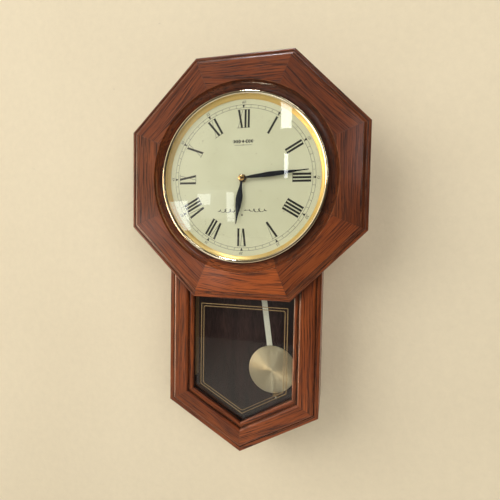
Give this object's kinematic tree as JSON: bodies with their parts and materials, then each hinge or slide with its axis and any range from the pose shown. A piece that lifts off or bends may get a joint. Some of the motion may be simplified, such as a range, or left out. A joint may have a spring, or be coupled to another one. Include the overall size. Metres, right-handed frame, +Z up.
{
  "type": "schoolhouse wall clock",
  "caption": "Octagonal oak schoolhouse wall clock with a domed round dial, two hands, a pointed drop with a gold-lined window, and a swinging pendulum on a battery movement.",
  "frame": {"origin": "centre of the hanger's keyhole, on the wall plane at the back of the case", "axes": "+Z up, +X to the right of a person facing the clock, the dial faces -Y and the wall is the plane Y = 0"},
  "size_m": [0.344, 0.11, 0.5762],
  "materials": {
    "oak": "stained oak under satin varnish",
    "plain_wood": "unfinished softwood",
    "dark_board": "dark stained plywood",
    "window_glass": "clear, gold line border",
    "crystal_glass": "clear domed",
    "black_rubber": "matte",
    "zinc_steel": "zinc plated",
    "speaker_black": "matte",
    "polished_brass": "polished",
    "satin_gilt": "satin gilt",
    "dial_paint": "pale cream paint, printed",
    "movement_plastic": "matte black",
    "wheel_plastic": "acetal white",
    "brass": "machined",
    "magnet": "nickel plated magnet",
    "copper_wire": "enamelled copper winding",
    "board_green": "circuit board",
    "cell_wrap": "plain wrapped cell",
    "nickel": "nickel plated spring steel",
    "hand_black": "gloss black lacquer",
    "brushed_brass": "radially brushed, lacquered",
    "bob_backing": "matte"
  },
  "bodies": {
    "clock": {"octagon_rail_1": "oak", "octagon_rail_2": "oak", "octagon_rail_3": "oak", "octagon_rail_4": "oak", "octagon_rail_5": "oak", "octagon_rail_6": "oak", "octagon_rail_7": "oak", "octagon_rail_8": "oak", "drop_stile_left": "oak", "drop_stile_right": "oak", "drop_rail_left": "oak", "drop_rail_right": "oak", "case_side_left": "oak", "case_side_right": "oak", "case_bottom_left": "oak", "case_bottom_right": "oak", "case_top": "oak", "window_glass": "window_glass", "glazing_gasket": "black_rubber", "wood_screws": "zinc_steel", "back_board": "dark_board", "back_cleats": "plain_wood", "hanger_cleat": "plain_wood", "hanger_plate": "zinc_steel", "speaker": "speaker_black", "bezel_ring": "polished_brass", "crystal": "crystal_glass", "reflector_ring": "satin_gilt", "dial_plate": "dial_paint", "bezel_screws": "zinc_steel", "movement_front": "movement_plastic", "movement_plate": "wheel_plastic", "movement_rear": "movement_plastic", "centre_nut": "polished_brass", "motor_stator": "zinc_steel", "motor_coil": "copper_wire", "circuit_board": "board_green", "drive_coil": "copper_wire", "battery_cell": "cell_wrap", "battery_contacts": "nickel", "pendulum_bracket": "movement_plastic"},
    "minute_hand": {"minute_arbor": "brass", "minute_hand": "hand_black", "hand_nut": "polished_brass"},
    "hour_hand": {"hour_wheel": "brass", "hour_hand": "hand_black"},
    "minute_wheel": {"minute_wheel": "wheel_plastic"},
    "set_knob": {"set_knob": "movement_plastic"},
    "rotor": {"rotor": "magnet"},
    "fifth_wheel": {"fifth_wheel": "wheel_plastic"},
    "seconds_wheel": {"seconds_wheel": "wheel_plastic"},
    "third_wheel": {"third_wheel": "wheel_plastic"},
    "centre_wheel": {"centre_wheel": "wheel_plastic"},
    "battery_cover": {"battery_cover": "movement_plastic"},
    "pendulum": {"pendulum_carrier": "movement_plastic", "drive_magnet": "magnet", "pendulum_rod": "brushed_brass"},
    "bob": {"bob_cover": "brushed_brass", "bob_back": "bob_backing"},
    "rating_nut": {"rating_nut": "polished_brass"}
  },
  "joints": [
    {"name": "minute_hand_turn", "type": "hinge", "parent": "clock", "child": "minute_hand", "pos_m": [0, -0.08, -0.1], "axis": [0, 1, 0], "continuous": true},
    {"name": "hour_hand_turn", "type": "hinge", "parent": "clock", "child": "hour_hand", "pos_m": [0, -0.08, -0.1], "axis": [0, 1, 0], "continuous": true},
    {"name": "minute_wheel_turn", "type": "hinge", "parent": "clock", "child": "minute_wheel", "pos_m": [-0.01039, -0.08, -0.106], "axis": [0, 1, 0], "continuous": true},
    {"name": "set_knob_turn", "type": "hinge", "parent": "clock", "child": "set_knob", "pos_m": [-0.02167, -0.08, -0.1101], "axis": [0, 1, 0], "continuous": true},
    {"name": "rotor_turn", "type": "hinge", "parent": "clock", "child": "rotor", "pos_m": [0.01554, -0.08, -0.0978], "axis": [0, 1, 0], "continuous": true},
    {"name": "fifth_wheel_turn", "type": "hinge", "parent": "clock", "child": "fifth_wheel", "pos_m": [0.01554, -0.08, -0.0908], "axis": [0, 1, 0], "continuous": true},
    {"name": "seconds_wheel_turn", "type": "hinge", "parent": "clock", "child": "seconds_wheel", "pos_m": [0.00879, -0.08, -0.0869], "axis": [0, 1, 0], "continuous": true},
    {"name": "third_wheel_turn", "type": "hinge", "parent": "clock", "child": "third_wheel", "pos_m": [0, -0.08, -0.0901], "axis": [0, 1, 0], "continuous": true},
    {"name": "centre_wheel_turn", "type": "hinge", "parent": "clock", "child": "centre_wheel", "pos_m": [0, -0.08, -0.1], "axis": [0, 1, 0], "continuous": true},
    {"name": "battery_cover_slide", "type": "slide", "parent": "clock", "child": "battery_cover", "axis": [0, 0, -1], "range_m": [0, 0.036]},
    {"name": "pendulum_swing", "type": "hinge", "parent": "clock", "child": "pendulum", "pos_m": [0, -0.05, -0.09], "axis": [0, -1, 0], "range_deg": [-18, 2]},
    {"name": "bob_slide", "type": "slide", "parent": "pendulum", "child": "bob", "axis": [0.1392, 0, -0.9903], "range_m": [-0.004, 0.004]},
    {"name": "rating_nut_turn", "type": "hinge", "parent": "bob", "child": "rating_nut", "pos_m": [0.04718, -0.0472, -0.4257], "axis": [0.1392, 0, -0.9903], "range_deg": [-2890, 2890]}
  ],
  "couplings": [
    {"joint": "hour_hand_turn", "follows": "minute_hand_turn", "ratio": 0.083333},
    {"joint": "minute_wheel_turn", "follows": "minute_hand_turn", "ratio": -0.33333},
    {"joint": "set_knob_turn", "follows": "minute_hand_turn", "ratio": 1},
    {"joint": "fifth_wheel_turn", "follows": "rotor_turn", "ratio": -0.16667},
    {"joint": "seconds_wheel_turn", "follows": "rotor_turn", "ratio": 0.033333},
    {"joint": "third_wheel_turn", "follows": "rotor_turn", "ratio": -0.0044444},
    {"joint": "centre_wheel_turn", "follows": "rotor_turn", "ratio": 0.00055556},
    {"joint": "rating_nut_turn", "follows": "bob_slide", "rad_per_m": 12566}
  ]
}
